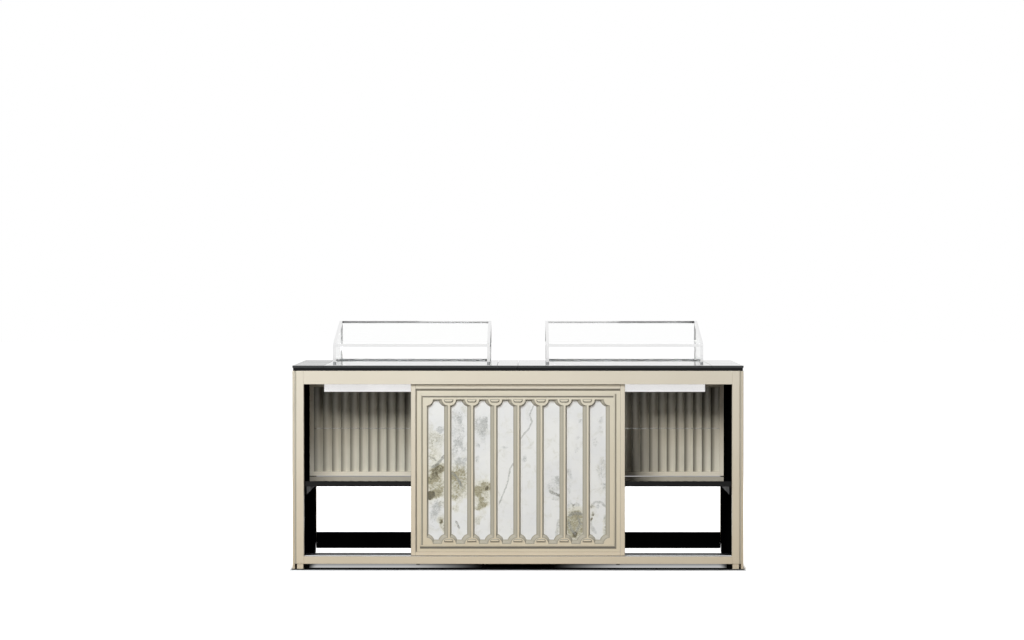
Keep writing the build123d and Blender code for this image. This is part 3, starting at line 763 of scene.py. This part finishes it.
def floor_surface():
    """Pale floor that keeps the station's shadow near it and fades to white farther off.
    A painted pool of light lies on it under the two open bays, and a painted contact
    shadow darkens its own colour under and just round the station."""
    s = Surface("floor")
    axes = s.axes()
    side = s.math("ABSOLUTE", axes["X"])
    beside = s.math("MULTIPLY", s.math("SUBTRACT", side, cad_high[0]), SIDE_FADE)
    ahead = s.math("SUBTRACT", cad_low[1], axes["Y"])
    behind = s.math("SUBTRACT", axes["Y"], cad_high[1] - REAR_FADE)
    gap = s.math("MAXIMUM", beside, s.math("MAXIMUM", ahead, behind))
    near = s.step(gap, SHADOW_START, SHADOW_EDGE, 0.0, EDGE_WHITE)
    far = s.step(gap, SHADOW_EDGE, SHADOW_END, 0.0, 1.0 - EDGE_WHITE)
    # Painted light: a pool of light painted on the floor under the two open bays
    across = s.math("MULTIPLY", s.step(side, *BAY_RISE), s.step(side, *BAY_FALL, 1.0, 0.0))
    start = s.step(axes["Y"], *BAY_START, 0.0, BAY_LIGHT)
    reach = s.math("MULTIPLY", start, s.step(axes["Y"], *BAY_FADE, 1.0, BAY_REAR))
    white = s.math("MAXIMUM", s.math("ADD", near, far), s.math("MULTIPLY", across, reach))
    # Painted contact shadow: the floor's own colour is dark under and just round the station
    painted_contact_shadow = s.step(gap, 0.0, CONTACT_GAP)
    lit = s.add("BsdfDiffuse", {"Color": s.blend(painted_contact_shadow, neutral(0.12), neutral(0.85))})
    glow = s.add("Emission", {"Color": WHITE, "Strength": white})
    seen = s.add("AddShader", {0: lit.outputs[0], 1: glow.outputs[0]})
    bounce = s.add("BsdfDiffuse", {"Color": rgb(0.24, 0.22, 0.19)})
    share = path_share(s.nodes, s.links, SEEN_RAYS)
    mix = s.add("MixShader", {0: share, 1: bounce.outputs[0], 2: seen.outputs[0]})
    s.add("OutputMaterial", {"Surface": mix.outputs[0]})
    return s.material


def make_floor():
    """The floor, which is stage and no part of the station."""
    mesh = floor_mesh()
    mesh.materials.append(floor_surface())
    floor = bpy.data.objects.new("floor", mesh)
    bpy.context.scene.collection.objects.link(floor)


def area_light(name, place, target, size, power, colour):
    """A rectangular lamp that doesn't show in glossy surfaces."""
    data = bpy.data.lights.new(name, "AREA")
    data.shape = "RECTANGLE"
    data.size, data.size_y = size
    data.energy = power
    data.color = colour
    lamp = bpy.data.objects.new(name, data)
    bpy.context.scene.collection.objects.link(lamp)
    lamp.location = place
    lamp.visible_glossy = False
    direction = Vector(target) - Vector(place)
    lamp.rotation_euler = direction.to_track_quat("-Z", "Y").to_euler()


# A place in the middle of the front, which the front lamps stand round
FRONT_MIDDLE = (0.0, -0.3, 0.5)


def around(azimuth, elevation, distance):
    """A place round the middle of the front, azimuth 0 before it and negative to the left."""
    x, y, z = FRONT_MIDDLE
    turn = math.radians(azimuth)
    rise = math.radians(elevation)
    return (
        x + distance * math.sin(turn) * math.cos(rise),
        y - distance * math.cos(turn) * math.cos(rise),
        z + distance * math.sin(rise),
    )


# Name, place, point aimed at, width and height, power, colour
LIGHTS = [
    ("high", around(-12, 46, 4.6), (0.0, -0.3, 0.7), (1.5, 1.2), 114.0, (0.95, 1.0, 1.07)),
    ("front", around(-16, 28, 8.0), (0.0, -0.3, 0.7), (2.8, 2.2), 330.0, (1.0, 0.98, 0.94)),
    ("left", around(-42, 30, 3.6), (-0.3, -0.3, 0.8), (1.4, 1.4), 14.0, (0.76, 1.0, 1.24)),
    ("right_side", (4.0, 1.3, 1.7), (1.0, 0.0, 0.5), (1.8, 1.4), 60.0, (1.0, 1.0, 0.98)),
    ("left_side", (-4.0, 1.3, 1.7), (-1.0, 0.0, 0.5), (1.8, 1.4), 60.0, (0.98, 1.0, 1.0)),
    ("rear", (0.0, 5.0, 1.9), (0.0, 0.3, 0.2), (3.2, 1.2), 60.0, (1.0, 1.0, 1.0)),
]


def make_camera():
    """The photograph's view, with its tilt and turn worked out from the vanishing point."""
    data = bpy.data.cameras.new("camera")
    data.sensor_width = SENSOR
    data.lens = FOCAL_PX / IMAGE_W * SENSOR
    data.clip_end = CAMERA_REACH
    turn = math.atan((VANISH_PX[0] - IMAGE_W / 2) / FOCAL_PX)
    tilt = math.atan((IMAGE_H / 2 - VANISH_PX[1]) / FOCAL_PX)
    camera = bpy.data.objects.new("camera", data)
    bpy.context.scene.collection.objects.link(camera)
    camera.location = CAMERA_PLACE
    camera.rotation_euler = (math.pi / 2 - tilt, 0.0, turn)
    bpy.context.scene.camera = camera


dress_cad()
make_world()
make_floor()
for lamp_row in LIGHTS:
    area_light(*lamp_row)
make_camera()
bpy.context.scene.view_settings.view_transform = "Standard"
